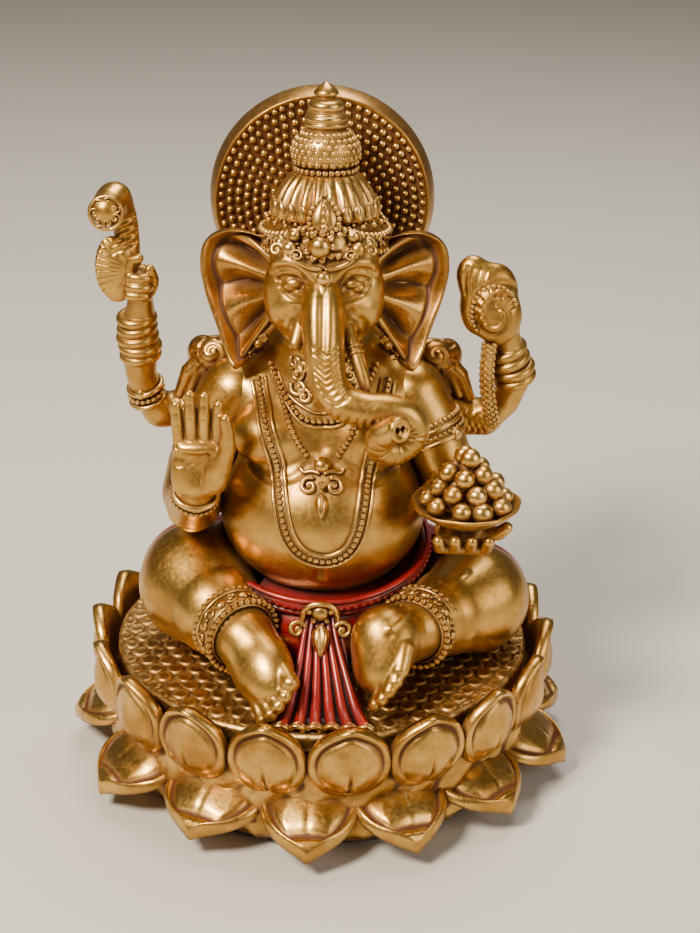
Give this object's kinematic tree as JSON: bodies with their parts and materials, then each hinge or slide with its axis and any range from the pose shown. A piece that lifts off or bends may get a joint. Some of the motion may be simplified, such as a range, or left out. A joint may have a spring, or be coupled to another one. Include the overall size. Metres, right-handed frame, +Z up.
{
  "type": "deity statuette",
  "caption": "Seated four-armed elephant-headed figure with halo, crown and bowl of sweets on a lotus throne, for display on a flat surface.",
  "frame": {"origin": "centre of the resting face, on the surface that the throne stands on", "axes": "+Z up, the figure faces -Y, and its own right side is at -X"},
  "size_m": [0.0744, 0.0749, 0.0998],
  "materials": {
    "gold_paint": "metallic gold paint over cast resin, with a brown antique wash",
    "red_paint": "translucent red enamel over gold",
    "felt": "thin flocked felt"
  },
  "bodies": {
    "root": {"anklets": "gold_paint", "base_core": "gold_paint", "crown_band": "gold_paint", "crown_spire": "gold_paint", "dhoti": "red_paint", "felt_pad": "felt", "halo": "gold_paint", "head": "gold_paint", "left_ear": "gold_paint", "left_front_arm": "gold_paint", "left_leg": "gold_paint", "left_rear_arm": "gold_paint", "lotus_bud": "gold_paint", "lower_petal_01": "gold_paint", "lower_petal_02": "gold_paint", "lower_petal_03": "gold_paint", "lower_petal_04": "gold_paint", "lower_petal_05": "gold_paint", "lower_petal_06": "gold_paint", "lower_petal_07": "gold_paint", "lower_petal_08": "gold_paint", "lower_petal_09": "gold_paint", "lower_petal_10": "gold_paint", "lower_petal_11": "gold_paint", "lower_petal_12": "gold_paint", "lower_petal_13": "gold_paint", "necklaces": "gold_paint", "right_ear": "gold_paint", "right_front_arm": "gold_paint", "right_leg": "gold_paint", "right_rear_arm": "gold_paint", "ritual_axe": "gold_paint", "sash_pleats": "red_paint", "seat_pad": "gold_paint", "shoulder_ornaments": "gold_paint", "sweet_bowl": "gold_paint", "sweets": "gold_paint", "torso": "gold_paint", "trunk": "gold_paint", "tusks": "gold_paint", "upper_petal_01": "gold_paint", "upper_petal_02": "gold_paint", "upper_petal_03": "gold_paint", "upper_petal_04": "gold_paint", "upper_petal_05": "gold_paint", "upper_petal_06": "gold_paint", "upper_petal_07": "gold_paint", "upper_petal_08": "gold_paint", "upper_petal_09": "gold_paint", "upper_petal_10": "gold_paint", "upper_petal_11": "gold_paint", "upper_petal_12": "gold_paint", "upper_petal_13": "gold_paint", "upper_petal_14": "gold_paint", "upper_petal_15": "gold_paint", "upper_petal_16": "gold_paint", "upper_petal_17": "gold_paint", "upper_petal_18": "gold_paint", "waist_belt": "red_paint", "waist_buckle": "gold_paint"}
  },
  "joints": []
}
